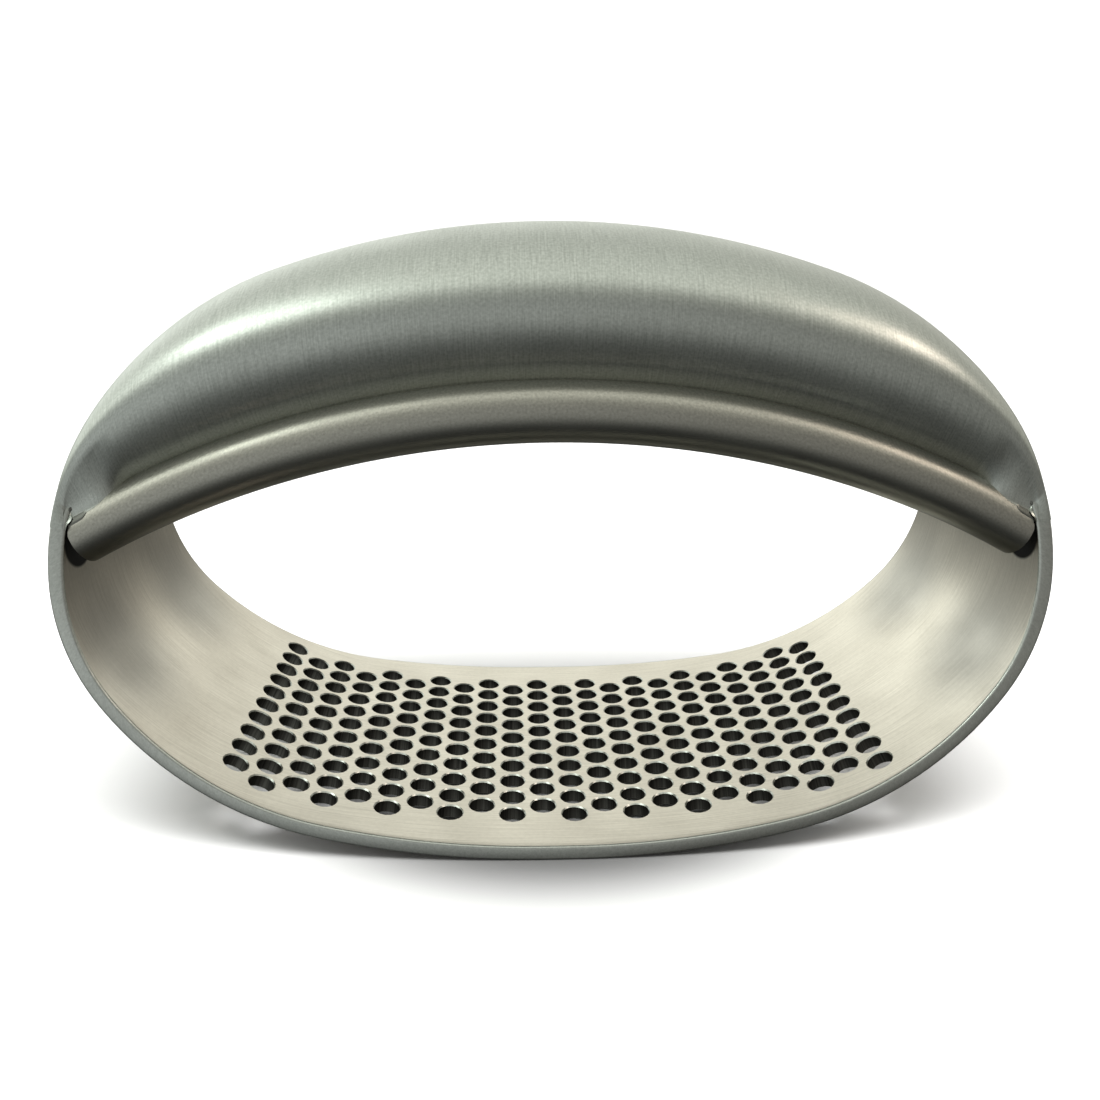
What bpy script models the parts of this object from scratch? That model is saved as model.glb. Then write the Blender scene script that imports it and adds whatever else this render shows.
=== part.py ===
"""Rocking garlic press in sheet stainless steel.

A perforated rocker plate is bent up into two side walls.  A hollow handle closes the
ring above it: a domed shell, a rounded liner under the fingers, and four small corner
tabs that carry the shell's faces down to the walls over the liner's ends.

Metres, +Z up.  X runs along the press, Y from front (-Y) to back.  The origin is on the
surface that the press stands on, under the middle of the plate.  The press is the same
turned half round about Z.
"""
import math

import bmesh
import bpy
import numpy as np
from mathutils import Matrix

MM = 0.001

# Overall sizes
OVERALL_LENGTH = 104.2 * MM
OVERALL_HEIGHT = 64.2 * MM
PLATE_DEPTH = 45.2 * MM          # front to back across the middle of the plate
SEAM_DEPTH = 26.4 * MM           # front to back where the wall meets the handle

# Sheet and fits
SHEET = 1.6 * MM                 # plate and shell
LINER_SHEET = 1.2 * MM
TAB_SHEET = 0.6 * MM
FIT_GAP = 0.3 * MM               # between pieces that touch

# Side view of the ring: a flat land, then tangent arcs, given at the sheet's inner face
LAND_HALF = 1.7 * MM             # half-length of the flat that the press stands on
BASE_TURN = math.radians(10.85)  # slope where the base arc ends
CORNER_RADIUS = 36.0 * MM
CORNER_TURN = math.radians(51.3)
WALL_RADIUS = 20.3 * MM          # up to the widest point
LEAN_RADIUS = 27.0 * MM          # from there to the seam
SEAM_LEAN = math.radians(16.5)   # the walls lean in by this much at the seam
CROWN_BREAK = math.radians(19.1)  # slope where the side arc meets the top arc

# Crushing holes
HOLE_DIAMETER = 2.8 * MM
HOLE_PITCH = 3.45 * MM
HOLE_COLUMNS = 22
HOLE_ROWS = 10
HOLE_SIDES = 8
STAGGER = 0.5                    # shift between neighbouring columns, in pitches

# Handle
HANDLE_HEIGHT = 22.0 * MM        # top of the shell to the liner's underside, at the middle
CROWN_DEPTH = 30.0 * MM          # front to back across the shell's middle
DOME_RISE = 8.4 * MM             # dome above its widest line, at the middle
DOME_END_RISE = 0.3 * MM         # the same at the seam
DOME_FADE = 1.45                 # how fast the dome flattens as the crescent narrows
GRIP_DEPTH = 28.2 * MM           # front to back across the liner's rolled edges
ROLL_RADIUS = 3.4 * MM           # outer radius of a rolled edge
LIP_INSET = 1.7 * MM             # the shell's lower edge stands behind the roll's front
WALL_GAP = 0.8 * MM              # liner's end to the inside of the wall
TAB_LENGTH = 2.4 * MM            # corner tab, along the press
TAB_LOW = math.radians(14)       # its lower edge round the roll, above the roll's front

STATIONS = 18                    # along half of the handle
DOME_STEPS = 7
FACE_STEPS = 3
ROLL_STEPS = 8
TAB_STEPS = 4

MODEL = bpy.data.collections.new("rocking_garlic_press")
CUTTERS = bpy.data.collections.new("cutters")


# ---------------------------------------------------------------- side-view line
def ring_arcs():
    """Length and curvature of each stretch of the ring's inner line, from the middle of
    the plate to the middle of the handle's top."""
    half = OVERALL_LENGTH / 2 - SHEET
    corner_run = CORNER_RADIUS * (math.sin(CORNER_TURN) - math.sin(BASE_TURN))
    wall_run = WALL_RADIUS * (1 - math.sin(CORNER_TURN))
    base_radius = (half - LAND_HALF - corner_run - wall_run) / math.sin(BASE_TURN)
    widest = (base_radius * (1 - math.cos(BASE_TURN))
              + CORNER_RADIUS * (math.cos(BASE_TURN) - math.cos(CORNER_TURN))
              + WALL_RADIUS * math.cos(CORNER_TURN))
    # The side and top arcs have to span what is left, across and upwards.
    across = half - LEAN_RADIUS * (1 - math.cos(SEAM_LEAN))
    upwards = OVERALL_HEIGHT - 2 * SHEET - widest - LEAN_RADIUS * math.sin(SEAM_LEAN)
    spans = [[math.sin(CROWN_BREAK), math.cos(SEAM_LEAN)],
             [1 - math.cos(CROWN_BREAK), 1 - math.sin(SEAM_LEAN)]]
    growth, side_radius = np.linalg.solve(spans, [across, upwards])
    top_radius = side_radius + growth
    upright = math.pi / 2
    return [
        (LAND_HALF, 0.0),
        (base_radius * BASE_TURN, 1 / base_radius),
        (CORNER_RADIUS * (CORNER_TURN - BASE_TURN), 1 / CORNER_RADIUS),
        (WALL_RADIUS * (upright - CORNER_TURN), 1 / WALL_RADIUS),
        (LEAN_RADIUS * SEAM_LEAN, 1 / LEAN_RADIUS),
        (side_radius * (upright - SEAM_LEAN - CROWN_BREAK), 1 / side_radius),
        (top_radius * CROWN_BREAK, 1 / top_radius),
    ]


ARCS = ring_arcs()
SEAM = sum(length for length, _ in ARCS[:5])     # length along the line to the seam
TOP = sum(length for length, _ in ARCS)          # and to the middle of the top


def ring_line(s):
    """x, z and slope angle of the inner line at lengths s from the middle of the plate."""
    s = np.asarray(s, float)
    run = np.abs(s)
    x, z, turn = np.zeros_like(run), np.full_like(run, SHEET), np.zeros_like(run)
    for length, curve in ARCS:
        step = np.clip(run, 0, length)
        end = turn + curve * step
        if curve:
            x += (np.sin(end) - np.sin(turn)) / curve
            z += (np.cos(turn) - np.cos(end)) / curve
        else:
            x += step * np.cos(turn)
            z += step * np.sin(turn)
        turn = end
        run = run - step
    side = np.where(s < 0, -1.0, 1.0)
    return x * side, z, turn * side


def plate_half_depth(s):
    """Half the plate's depth: widest in the middle, narrowing as a parabola to the seam."""
    return (PLATE_DEPTH - (PLATE_DEPTH - SEAM_DEPTH) * (np.asarray(s) / SEAM) ** 2) / 2


# ---------------------------------------------------------------- helpers
def material(name, rgb, roughness):
    made = bpy.data.materials.new(name)
    made.use_nodes = True
    shader = made.node_tree.nodes["Principled BSDF"]
    shader.inputs["Base Color"].default_value = (*rgb, 1.0)
    shader.inputs["Metallic"].default_value = 1.0
    shader.inputs["Roughness"].default_value = roughness
    return made


def add_object(name, mesh, steel=None, collection=MODEL):
    made = bpy.data.objects.new(name, mesh)
    collection.objects.link(made)
    if steel:
        mesh.materials.append(steel)
    return made


def hide_cutter(cutter):
    cutter.hide_render = True
    cutter.display_type = "WIRE"


def grid_mesh(name, points):
    """Quads over a grid of points, shape (rows, columns, 3)."""
    rows, columns = points.shape[:2]
    index = np.arange(rows * columns).reshape(rows, columns)
    quads = np.stack([index[:-1, :-1], index[:-1, 1:], index[1:, 1:], index[1:, :-1]], -1)
    mesh = bpy.data.meshes.new(name)
    mesh.from_pydata(points.reshape(-1, 3).tolist(), [], quads.reshape(-1, 4).tolist())
    return mesh


def loft(name, sections, steel):
    """Closed solid through sections of equal point count, shape (sections, points, 3).
    Each section runs clockwise seen from the last one, and both ends are capped."""
    count, size = sections.shape[:2]
    index = np.arange(count * size).reshape(count, size)
    ahead = np.roll(index, -1, axis=1)
    quads = np.stack([index[:-1], index[1:], ahead[1:], ahead[:-1]], -1).reshape(-1, 4)
    caps = [index[0].tolist(), index[-1, ::-1].tolist()]
    mesh = bpy.data.meshes.new(name)
    mesh.from_pydata(sections.reshape(-1, 3).tolist(), [], quads.tolist() + caps)
    made = add_object(name, mesh, steel)
    smooth(made)
    return made


def give_thickness(made, sheet):
    solid = made.modifiers.new("sheet", "SOLIDIFY")
    solid.thickness = sheet
    solid.offset = -1
    solid.use_even_offset = True


def cut(made, cutter):
    boolean = made.modifiers.new(cutter.name, "BOOLEAN")
    boolean.operation = "DIFFERENCE"
    boolean.solver = "EXACT"
    boolean.object = cutter


def evaluated_mesh(made):
    bpy.context.view_layer.update()
    graph = bpy.context.evaluated_depsgraph_get()
    return bpy.data.meshes.new_from_object(made.evaluated_get(graph))


def smooth(made, degrees=35):
    made.data.shade_smooth()
    made.data.set_sharp_from_angle(angle=math.radians(degrees))


# ---------------------------------------------------------------- rocker plate
def flat_blank():
    """The plate before bending: a slab as long as the bent line, its top at z = 0."""
    pattern_half = HOLE_COLUMNS * HOLE_PITCH / 2
    wall_strips = max(2, math.ceil((SEAM - pattern_half) / HOLE_PITCH))
    strips = np.append(LAND_HALF, np.arange(1, HOLE_COLUMNS // 2 + 1) * HOLE_PITCH)
    strips.sort()
    walls = np.linspace(pattern_half, SEAM, wall_strips + 1)[1:]
    right = np.concatenate([strips, walls])
    s = np.concatenate([-right[::-1], right])
    edge = plate_half_depth(s)
    front = np.stack([s, -edge, np.zeros_like(s)], -1)
    back = front * (1, -1, 1)
    blank = add_object("rocker_plate", grid_mesh("rocker_plate", np.stack([front, back])))
    give_thickness(blank, SHEET)
    return blank


def hole_cutter():
    """One drill for each hole, neighbouring columns staggered by half a pitch."""
    drills = bmesh.new()
    flat_on = math.pi / HOLE_SIDES
    for column in range(HOLE_COLUMNS):
        side = 1 if column % 2 == 0 else -1
        s = (column - (HOLE_COLUMNS - 1) / 2) * HOLE_PITCH
        for row in range(HOLE_ROWS):
            y = ((HOLE_ROWS - 1) / 2 - row + side * STAGGER / 2) * HOLE_PITCH
            place = Matrix.Translation((s, y, -SHEET / 2)) @ Matrix.Rotation(flat_on, 4, "Z")
            bmesh.ops.create_cone(drills, cap_ends=True, segments=HOLE_SIDES, depth=4 * SHEET,
                                  radius1=HOLE_DIAMETER / 2, radius2=HOLE_DIAMETER / 2, matrix=place)
    mesh = bpy.data.meshes.new("hole_drills")
    drills.to_mesh(mesh)
    drills.free()
    cutter = add_object("hole_drills", mesh, collection=CUTTERS)
    hide_cutter(cutter)
    return cutter


def bend(mesh):
    """Wrap the flat mesh round the side-view line: x becomes length along the line and z
    becomes height above it.  It is cut into triangles first, so that each stays flat."""
    shape = bmesh.new()
    shape.from_mesh(mesh)
    bmesh.ops.triangulate(shape, faces=shape.faces)
    shape.to_mesh(mesh)
    shape.free()
    flat = np.empty(len(mesh.vertices) * 3)
    mesh.vertices.foreach_get("co", flat)
    flat = flat.reshape(-1, 3)
    x, z, turn = ring_line(flat[:, 0])
    bent = np.stack([x - flat[:, 2] * np.sin(turn), flat[:, 1], z + flat[:, 2] * np.cos(turn)], -1)
    mesh.vertices.foreach_set("co", bent.ravel())
    mesh.update()


def rocker_plate(steel):
    plate = flat_blank()
    cut(plate, hole_cutter())
    mesh = evaluated_mesh(plate)
    plate.modifiers.clear()
    plate.data = mesh
    mesh.materials.append(steel)
    bend(mesh)
    smooth(plate)
    return plate


# ---------------------------------------------------------------- handle
def seam_corners():
    """Outer end of the shell's last section, and the end of its lip inside the wall."""
    x, z, turn = (float(value) for value in ring_line(SEAM + FIT_GAP))
    across = np.array([math.sin(turn), -math.cos(turn)])
    line = np.array([x, z])
    return line + SHEET * across, line - WALL_GAP * across


def lip_arch():
    """Radius and centre height of the arc that the shell's lower edge follows, from over
    the middle of the liner down to the seams."""
    peak = OVERALL_HEIGHT - HANDLE_HEIGHT + 2 * ROLL_RADIUS + FIT_GAP
    _, lip = seam_corners()
    drop = peak - lip[1]
    radius = (lip[0] ** 2 + drop ** 2) / (2 * drop)
    return radius, peak - radius


LIP_RADIUS, ARCH_CENTRE = lip_arch()
ROLL_Y = GRIP_DEPTH / 2 - ROLL_RADIUS              # a roll's centre line to the middle plane
LIP_END = float(seam_corners()[1][0])              # half the length of the lip


def lip_height(x):
    return ARCH_CENTRE + np.sqrt(LIP_RADIUS ** 2 - np.asarray(x) ** 2)


def crescent():
    """Lower and upper ends of each section of the shell, from the left seam to the right.
    The upper end runs over the crown, the lower end along the lip."""
    s = np.linspace(SEAM + FIT_GAP, TOP, STATIONS + 1)
    x, z, turn = ring_line(s)
    upper = np.stack([x + SHEET * np.sin(turn), z - SHEET * np.cos(turn)], -1)
    upper[-1, 0] = 0.0
    lower_x = upper[:, 0] * LIP_END / upper[0, 0]
    lower = np.stack([lower_x, lip_height(lower_x)], -1)
    left = (-1, 1)
    return (np.concatenate([lower * left, lower[-2::-1]]),
            np.concatenate([upper * left, upper[-2::-1]]))


def shell_sections():
    """Each section is half an ellipse over the dome, then a face on each side that curves
    in to the lip.  The inner line is the same shape drawn in by the sheet."""
    lower, upper = crescent()
    height = np.linalg.norm(upper - lower, axis=1)[:, None]
    share = (height - height[0]) / (height.max() - height[0])
    rise = DOME_END_RISE + (DOME_RISE - DOME_END_RISE) * share ** DOME_FADE
    half = (SEAM_DEPTH + (CROWN_DEPTH - SEAM_DEPTH) * share) / 2
    lip = GRIP_DEPTH / 2 - LIP_INSET
    around = np.linspace(-math.pi / 2, math.pi / 2, 2 * DOME_STEPS + 1)
    dome_up = height - rise + rise * np.cos(around)
    fall = np.linspace(0, 1, FACE_STEPS + 1)[1:]
    face_y = lip + (half - lip) * (1 - fall ** 2)
    face_up = (height - rise) * (1 - fall)

    def line(inset):
        dome_y = (half - inset) * np.sin(around)
        y = np.concatenate([inset - face_y[:, ::-1], dome_y, face_y - inset], 1)
        up = np.concatenate([face_up[:, ::-1], dome_up, face_up], 1) * (height - inset) / height
        point = lower[:, None, :] + (up / height)[:, :, None] * (upper - lower)[:, None, :]
        return np.stack([point[..., 0], y, point[..., 1]], -1)

    return np.concatenate([line(0.0), line(SHEET)[:, ::-1]], 1)


def along_arch(y, out, shares):
    """Upright sections at shares (-1 to 1) of the way to the liner's ends.  A point keeps
    its height out over the rolls' centre line, and the ends follow the walls."""
    wall_x, wall_z, _ = ring_line(np.linspace(0, SEAM, 200))
    drop = ROLL_RADIUS + FIT_GAP - out
    end = np.interp(lip_height(LIP_END) - drop, wall_z, wall_x) - WALL_GAP
    x = np.asarray(shares, float)[:, None] * end
    return np.stack([x, np.broadcast_to(y, x.shape), lip_height(x) - drop], -1)


def grip_liner(steel):
    """Rolled channel under the fingers.  Its section runs from the top of the front roll
    round its front, across the underside and up round the rear roll, and back inside."""
    turn = np.linspace(math.pi / 2, -math.pi / 2, ROLL_STEPS + 1)

    def line(radius):
        y = ROLL_Y + radius * np.cos(turn)
        out = radius * np.sin(turn)
        return np.append(-y, y[::-1]), np.append(out, out[::-1])

    outer_y, outer_out = line(ROLL_RADIUS)
    inner_y, inner_out = line(ROLL_RADIUS - LINER_SHEET)
    sections = along_arch(np.append(inner_y, outer_y[::-1]), np.append(inner_out, outer_out[::-1]),
                          np.linspace(-1, 1, 2 * STATIONS + 1))
    return loft("grip_liner", sections, steel)


def corner_tab(name, side, front, steel):
    """Thin tab laid over the front of a roll's end, from under the shell's lip."""
    lip_corner = math.atan2(ROLL_RADIUS + FIT_GAP, ROLL_RADIUS - LIP_INSET)
    top = lip_corner - 2 * FIT_GAP / ROLL_RADIUS
    turn = np.linspace(TAB_LOW, top, TAB_STEPS + 1)
    inner = ROLL_RADIUS + FIT_GAP
    radius = np.repeat([inner, inner + TAB_SHEET], TAB_STEPS + 1)
    turn = np.append(turn, turn[::-1])
    start = 1 - TAB_LENGTH / LIP_END
    y = front * (ROLL_Y + radius * np.cos(turn))
    sections = along_arch(y, radius * np.sin(turn), side * np.linspace(start, 1, 3))
    if side * front < 0:
        sections = sections[:, ::-1]
    return loft(name, sections, steel)


def main():
    for old in list(bpy.data.objects):
        bpy.data.objects.remove(old)
    for group in (MODEL, CUTTERS):
        bpy.context.scene.collection.children.link(group)
    satin = material("satin_plate_steel", (0.46, 0.45, 0.42), 0.38)
    brushed = material("brushed_shell_steel", (0.36, 0.37, 0.35), 0.34)
    rolled = material("rolled_liner_steel", (0.34, 0.34, 0.32), 0.36)
    rocker_plate(satin)
    loft("handle_shell", shell_sections(), brushed)
    grip_liner(rolled)
    for side, end in ((-1, "left"), (1, "right")):
        for front, face in ((-1, "front"), (1, "rear")):
            corner_tab(f"corner_tab_{face}_{end}", side, front, brushed)


main()
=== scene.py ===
# %% [markdown]
# # A rocking garlic press in satin stainless steel
# The press is one closed ring of sheet steel: a perforated plate bent up into two walls,
# and a hollow handle above it.  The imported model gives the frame, which is where every
# piece sits and how big it is.  This script draws the surfaces a person sees: round holes
# with broken edges, a domed shell, rolled edges under the fingers, and brushed steel.

# %% Load the frame
import math

import bmesh
import bpy
import numpy as np
from mathutils import Matrix, Vector


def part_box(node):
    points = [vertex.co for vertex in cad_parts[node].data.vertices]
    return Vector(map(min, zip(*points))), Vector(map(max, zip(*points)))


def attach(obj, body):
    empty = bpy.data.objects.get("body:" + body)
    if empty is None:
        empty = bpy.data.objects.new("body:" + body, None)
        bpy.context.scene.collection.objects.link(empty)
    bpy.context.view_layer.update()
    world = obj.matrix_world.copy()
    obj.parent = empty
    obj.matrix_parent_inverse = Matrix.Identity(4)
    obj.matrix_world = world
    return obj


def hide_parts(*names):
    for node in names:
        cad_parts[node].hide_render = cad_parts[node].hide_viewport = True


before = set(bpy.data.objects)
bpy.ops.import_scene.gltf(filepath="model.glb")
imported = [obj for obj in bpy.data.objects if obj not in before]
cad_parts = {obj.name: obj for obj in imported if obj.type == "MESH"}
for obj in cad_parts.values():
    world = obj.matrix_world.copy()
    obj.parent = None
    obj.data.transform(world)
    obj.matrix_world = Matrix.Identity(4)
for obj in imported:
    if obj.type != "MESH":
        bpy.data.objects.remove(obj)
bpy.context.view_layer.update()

# %% [markdown]
# ## Sizes
# Lengths are in metres, as in the frame.  The overall sizes are read from the frame, and
# the sheet, the radii and the hole pattern repeat the model's own driving sizes, because
# the fine surfaces have to lie where the model's pieces are.

# %% Overall sizes from the frame, and the maker's sizes
MM = 0.001
plate_low, plate_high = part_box("rocker_plate")
OVERALL_LENGTH = plate_high.x - plate_low.x
PLATE_DEPTH = plate_high.y - plate_low.y
OVERALL_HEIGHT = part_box("handle_shell")[1].z - plate_low.z
SEAM_DEPTH = 26.4 * MM
SHEET = 1.6 * MM
LINER_SHEET = 1.2 * MM
LAND_HALF = 1.7 * MM
BASE_TURN = math.radians(10.85)
CORNER_RADIUS = 36.0 * MM
CORNER_TURN = math.radians(51.3)
WALL_RADIUS = 20.3 * MM
LEAN_RADIUS = 27.0 * MM
SEAM_LEAN = math.radians(16.5)
CROWN_BREAK = math.radians(19.1)
HANDLE_HEIGHT = 22.0 * MM
CROWN_DEPTH = 30.0 * MM
DOME_RISE = 8.4 * MM
DOME_END_RISE = 1.3 * MM
DOME_END_CORNER = 0.3 * MM
DOME_FADE = 1.45
GRIP_DEPTH = 28.2 * MM
ROLL_RADIUS = 3.4 * MM
WALL_GAP = 0.8 * MM
LIP_DROP = ROLL_RADIUS + 0.3 * MM   # from the lip arch down to a roll's centre line
print("plate depth, mm:", round(PLATE_DEPTH / MM, 1))

# %% [markdown]
# ## The ring seen from the side
# The maker bends a flat blank round formers, so the side view is a chain of arcs that
# run into each other without a kink.  Adding up arc by arc gives any point of the line
# from its length alone, and the same line then carries the plate, the walls and the
# crown, so they always meet.

# %% The chain of arcs
def ring_arcs():
    """Length and curvature of each stretch of the sheet's inner line, from the middle of
    the plate to the middle of the handle's top.  The first arc's radius closes the width,
    and the last two radii solve the two equations for what is left across and upwards."""
    half = OVERALL_LENGTH / 2 - SHEET
    corner_run = CORNER_RADIUS * (math.sin(CORNER_TURN) - math.sin(BASE_TURN))
    wall_run = WALL_RADIUS * (1 - math.sin(CORNER_TURN))
    base_radius = (half - LAND_HALF - corner_run - wall_run) / math.sin(BASE_TURN)
    widest = (base_radius * (1 - math.cos(BASE_TURN))
              + CORNER_RADIUS * (math.cos(BASE_TURN) - math.cos(CORNER_TURN))
              + WALL_RADIUS * math.cos(CORNER_TURN))
    across = half - LEAN_RADIUS * (1 - math.cos(SEAM_LEAN))
    upwards = OVERALL_HEIGHT - 2 * SHEET - widest - LEAN_RADIUS * math.sin(SEAM_LEAN)
    spans = [[math.sin(CROWN_BREAK), math.cos(SEAM_LEAN)],
             [1 - math.cos(CROWN_BREAK), 1 - math.sin(SEAM_LEAN)]]
    growth, side_radius = np.linalg.solve(spans, [across, upwards])
    top_radius = side_radius + growth
    upright = math.pi / 2
    return [(LAND_HALF, 0.0),
            (base_radius * BASE_TURN, 1 / base_radius),
            (CORNER_RADIUS * (CORNER_TURN - BASE_TURN), 1 / CORNER_RADIUS),
            (WALL_RADIUS * (upright - CORNER_TURN), 1 / WALL_RADIUS),
            (LEAN_RADIUS * SEAM_LEAN, 1 / LEAN_RADIUS),
            (side_radius * (upright - SEAM_LEAN - CROWN_BREAK), 1 / side_radius),
            (top_radius * CROWN_BREAK, 1 / top_radius)]


def ring_line(s):
    """x, z and slope of the inner line at lengths s: on each arc the slope grows with
    length, x adds (sin end - sin start) / curvature and z adds (cos start - cos end) /
    curvature.  Negative lengths mirror to the left."""
    s = np.asarray(s, float)
    run = np.abs(s)
    x, z, turn = np.zeros_like(run), np.full_like(run, SHEET), np.zeros_like(run)
    for length, curve in ARCS:
        step = np.clip(run, 0, length)
        end = turn + curve * step
        x += (np.sin(end) - np.sin(turn)) / curve if curve else step
        z += (np.cos(turn) - np.cos(end)) / curve if curve else 0
        turn, run = end, run - step
    side = np.where(s < 0, -1.0, 1.0)
    return x * side, z, turn * side


ARCS = ring_arcs()
SEAM = sum(length for length, _ in ARCS[:5])
TOP = sum(length for length, _ in ARCS)
print("line to the seam and to the top, mm:", round(SEAM / MM, 1), round(TOP / MM, 1))

# %% [markdown]
# ## From arrays to a mesh
# Every piece is worked out as an array of points and an array of faces.  One function
# turns them into an object, with a UV map in millimetres of steel: U runs along the ring
# and V round the section.  The brush marks follow that map, so they bend with the sheet.

# %% Mesh helpers
def grid_faces(index):
    """Four-cornered faces between neighbouring rows and columns of an index grid."""
    corners = [index[:-1, :-1], index[1:, :-1], index[1:, 1:], index[:-1, 1:]]
    return np.stack(corners, -1).reshape(-1, 4)


def steel_piece(name, points, faces, uv, weld, caps, stands_for, finish=None):
    """An object from an array of points and faces.  Face corners are rows of uv, and weld
    tells which point each row of uv belongs to, so the map can start anew at a seam.
    Finish is the material number of each face where a piece has more than one."""
    corners = faces.tolist() + [list(cap) for cap in caps]
    mesh = bpy.data.meshes.new(name)
    mesh.from_pydata(points.tolist(), [], [[int(weld[c]) for c in face] for face in corners])
    rows = np.concatenate([np.asarray(face) for face in corners])
    mesh.uv_layers.new(name="steel").data.foreach_set("uv", (uv[rows] / MM).ravel())
    if finish is not None:
        numbers = np.append(finish, np.zeros(len(caps), int))
        mesh.polygons.foreach_set("material_index", numbers.astype(np.int32))
    mesh.shade_smooth()
    mesh.set_sharp_from_angle(angle=math.radians(38))
    made = bpy.data.objects.new(name, mesh)
    bpy.context.scene.collection.objects.link(made)
    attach(made, "root")
    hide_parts(stands_for)
    solid = bmesh.new()
    solid.from_mesh(mesh)
    print(name, "faces:", len(mesh.polygons), "metal, cubic mm:",
          round(solid.calc_volume(signed=True) / MM ** 3, 1),
          "open edges:", sum(not line.is_manifold for line in solid.edges))
    solid.free()
    return made


def lofted(name, sections, stands_for, start=0):
    """Closed solid through sections, an array (sections, points, 3) of closed outlines.
    U is length along the sections' middles, V is length round the middle section from
    halfway between its points start and start + 1."""
    count, size = sections.shape[:2]
    u = np.append(0, np.cumsum(np.linalg.norm(np.diff(sections.mean(1), axis=0), axis=1)))
    middle = np.concatenate([sections[count // 2], sections[count // 2, :1]])
    v = np.append(0, np.cumsum(np.linalg.norm(np.diff(middle, axis=0), axis=1)))
    v = v - v[start:start + 2].mean()
    uv = np.stack(np.meshgrid(u - u[-1] / 2, v, indexing="ij"), -1).reshape(-1, 2)
    index = np.arange(count * (size + 1)).reshape(count, size + 1)
    weld = (np.arange(count)[:, None] * size + np.arange(size + 1) % size).ravel()
    caps = [index[0, :size], index[-1, size - 1::-1]]
    return steel_piece(name, sections.reshape(-1, 3), grid_faces(index), uv, weld, caps,
                       stands_for)


# %% [markdown]
# ## The rocker plate
# The real plate is drilled flat, tumbled so that every edge is lightly broken, and bent.
# A Boolean cut would leave long thin triangles, so the flat blank is drawn as a lattice
# instead, four steps to a hole pitch.  Neighbouring columns of holes are shifted by half
# a pitch, which is two steps, so the lattices of all the holes still meet point to point.
# In each hole's block of four by four steps, the square boundary is joined to a circle.

# %% The lattice
HOLE_DIAMETER = 2.8 * MM
HOLE_PITCH = 3.45 * MM
HOLE_COLUMNS = 22
HOLE_ROWS = 10
HOLE_BREAK = 0.13 * MM     # broken edge of a hole
EDGE_INNER = 0.28 * MM     # rounding of the plate's own edges
EDGE_OUTER = DOME_END_CORNER   # as round as the shell's edge where they meet
EDGE_STEPS = 4
CELL = 4
STEP = HOLE_PITCH / CELL
PATTERN_HALF = CELL * HOLE_COLUMNS // 2 * STEP
MARGIN = 6                 # strips between the holes and the plate's edge
WALL_STRIPS = 34
SLEEVE = 3.0 * MM          # the shell's polished-over weld runs this far down the wall
TUCK = 0.5 * MM            # and the plate draws in by this much under it


def plate_half_depth(s):
    """Half the plate's depth: a parabola from the middle down to the seam."""
    return (PLATE_DEPTH - (PLATE_DEPTH - SEAM_DEPTH) * (np.asarray(s) / SEAM) ** 2) / 2


def ease(t):
    """Zero below 0, one above 1, and a smooth rise 3t^2 - 2t^3 between."""
    t = np.clip(t, 0, 1)
    return t * t * (3 - 2 * t)


inner = np.arange(-CELL * HOLE_COLUMNS // 2, CELL * HOLE_COLUMNS // 2 + 1) * STEP
wall = np.linspace(PATTERN_HALF, SEAM, WALL_STRIPS + 1)[1:]
stations = np.concatenate([-wall[::-1], inner, wall])
rows = (np.arange(CELL * HOLE_ROWS + 3) - (CELL * HOLE_ROWS + 2) / 2) * STEP
print("lattice:", len(stations), "by", len(rows))

# %% The closed outline of the blank at every station
def blank_outline():
    """For each station the outline's y and height h: across the inner face, round the
    rear edge, back across the outer face and round the front edge.  Past the holes the
    rows draw together as the plate narrows.  A rounded edge is a quarter circle, so a
    point on it is its centre plus the radius times sine and cosine."""
    under_weld = ease((np.abs(stations) - SEAM + SLEEVE) / SLEEVE)
    half = (plate_half_depth(stations) - TUCK * under_weld)[:, None]
    field = rows * np.minimum(1, half / plate_half_depth(PATTERN_HALF))
    steps = np.linspace(0, 1, MARGIN + 1)[:-1]

    def across(edge):
        near = -edge + (field[:, :1] + edge) * steps
        return np.concatenate([near, field, -near[:, ::-1]], 1)

    top_y, under_y = across(half - EDGE_INNER), across(half - EDGE_OUTER)[:, ::-1]
    bend = np.linspace(0, math.pi / 2, EDGE_STEPS + 1)
    rear_y = np.concatenate([half - EDGE_INNER * (1 - np.sin(bend[1:])),
                             half - EDGE_OUTER * (1 - np.cos(bend[:-1]))], 1)
    rear_h = np.concatenate([-EDGE_INNER * (1 - np.cos(bend[1:])),
                             EDGE_OUTER * (1 - np.sin(bend[:-1])) - SHEET])
    y = np.concatenate([top_y, rear_y, under_y, -rear_y[:, ::-1]], 1)
    h = np.concatenate([np.zeros(top_y.shape[1]), rear_h,
                        np.full(under_y.shape[1], -SHEET), rear_h[::-1]])
    return y, np.broadcast_to(h, y.shape)


outline_y, outline_h = blank_outline()
TOP_COUNT = len(rows) + 2 * MARGIN
print("points round the outline:", outline_y.shape[1])

# %% Holes joined into the lattice
def hole_blocks():
    """Station and row numbers of the middle of every hole, in lattice steps."""
    column, row = np.meshgrid(np.arange(HOLE_COLUMNS), np.arange(HOLE_ROWS), indexing="ij")
    shift = np.where(column % 2 == 0, 1, -1)
    station = WALL_STRIPS + CELL // 2 + CELL * column
    return station.ravel(), (CELL * HOLE_ROWS - 1 - CELL * row + shift).ravel()


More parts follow.
